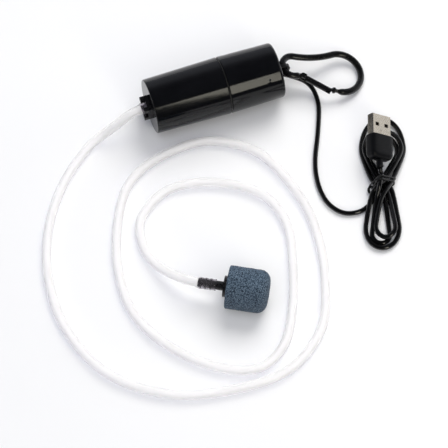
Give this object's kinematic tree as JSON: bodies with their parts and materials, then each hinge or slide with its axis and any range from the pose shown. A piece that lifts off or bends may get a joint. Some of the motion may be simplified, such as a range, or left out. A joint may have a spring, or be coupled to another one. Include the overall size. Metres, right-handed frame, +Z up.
{
  "type": "aquarium air pump",
  "caption": "Small USB aquarium air pump: barrel body with clear air tube, air stone, tied USB lead and a snap hook.",
  "frame": {"origin": "on the table under the middle of the pump body's length", "axes": "+X along the body towards the cable end, +Z up from the table"},
  "size_m": [0.2039, 0.1798, 0.0304],
  "materials": {
    "shell_plastic": "gloss black",
    "collar_plastic": "satin black",
    "seam_rubber": "matt black",
    "filter_felt": "felt",
    "works_plastic": "moulded light grey",
    "valve_plastic": "moulded natural",
    "valve_rubber": "soft red",
    "diaphragm_rubber": "matt",
    "plated_steel": "zinc plated",
    "can_steel": "drawn and plated",
    "magnet_ferrite": "dark ferrite",
    "bronze": "sintered bronze",
    "cap_plastic": "moulded cream",
    "brush_carbon": "carbon",
    "tin_brass": "stamped",
    "foam": "open foam",
    "lead_jacket": "satin black jacket",
    "clear_silicone": "clear silicone",
    "nozzle_plastic": "black",
    "stone_grit": "bonded blue-grey grit",
    "tie_plastic": "black",
    "plug_plastic": "satin black",
    "plug_steel": "satin nickel",
    "tongue_plastic": "white",
    "gold_contacts": "gold plated",
    "hook_paint": "gloss black anodised",
    "shaft_steel": "ground",
    "core_steel": "laminated",
    "copper_wire": "enamelled copper",
    "copper_bars": "copper",
    "crank_plastic": "moulded dark"
  },
  "bodies": {
    "pump": {"front_shell": "shell_plastic", "rear_shell": "shell_plastic", "seam_ring": "seam_rubber", "outlet_collar": "collar_plastic", "hang_eye": "collar_plastic", "cable_grommet": "seam_rubber", "inlet_filter": "filter_felt", "pump_head": "works_plastic", "valve_plate": "valve_plastic", "check_valves": "valve_rubber", "diaphragm": "diaphragm_rubber", "cup_holder": "works_plastic", "crank_case": "works_plastic", "head_screws": "plated_steel", "motor_can": "can_steel", "motor_magnets": "magnet_ferrite", "shaft_bushing": "bronze", "brush_cap": "cap_plastic", "brushes": "brush_carbon", "terminals": "tin_brass", "foam_sleeve": "foam", "inner_leads": "lead_jacket", "air_tube": "clear_silicone", "stone_nozzle": "nozzle_plastic", "air_stone": "stone_grit", "usb_lead": "lead_jacket", "usb_hank": "lead_jacket", "usb_tail": "lead_jacket", "twist_tie": "tie_plastic", "usb_strain_relief": "plug_plastic", "usb_overmould": "plug_plastic", "usb_shell": "plug_steel", "usb_tongue": "tongue_plastic", "usb_contacts": "gold_contacts"},
    "carabiner": {"carabiner_frame": "hook_paint", "gate_pivot": "hook_paint", "gate_spring": "plated_steel"},
    "gate": {"carabiner_gate": "hook_paint"},
    "rotor": {"motor_shaft": "shaft_steel", "armature_core": "core_steel", "windings": "copper_wire", "commutator": "copper_bars", "crank_wheel": "crank_plastic", "crank_pin": "shaft_steel"},
    "wobbler": {"wobble_plate": "valve_plastic"}
  },
  "joints": [
    {"name": "hook_swing", "type": "hinge", "parent": "pump", "child": "carabiner", "pos_m": [0.03835, 0, 0.0144], "axis": [0, -1, 0], "range_deg": [0, 95]},
    {"name": "gate_swing", "type": "hinge", "parent": "carabiner", "child": "gate", "pos_m": [0.04703, -0.00606, 0.0113], "axis": [0.2777, -0.0913, 0.9563], "range_deg": [0, 28], "stiffness_Nm_per_rad": 0.02, "springref_deg": -17.19},
    {"name": "motor_spin", "type": "hinge", "parent": "pump", "child": "rotor", "pos_m": [0, 0, 0.0152], "axis": [1, 0, 0], "continuous": true, "deforming": ["diaphragm"]},
    {"name": "wobble", "type": "hinge", "parent": "rotor", "child": "wobbler", "pos_m": [-0.0163, 0, 0.0152], "axis": [0.9903, 0, 0.1392], "continuous": true}
  ],
  "couplings": [
    {"joint": "wobble", "follows": "motor_spin", "ratio": -1}
  ]
}
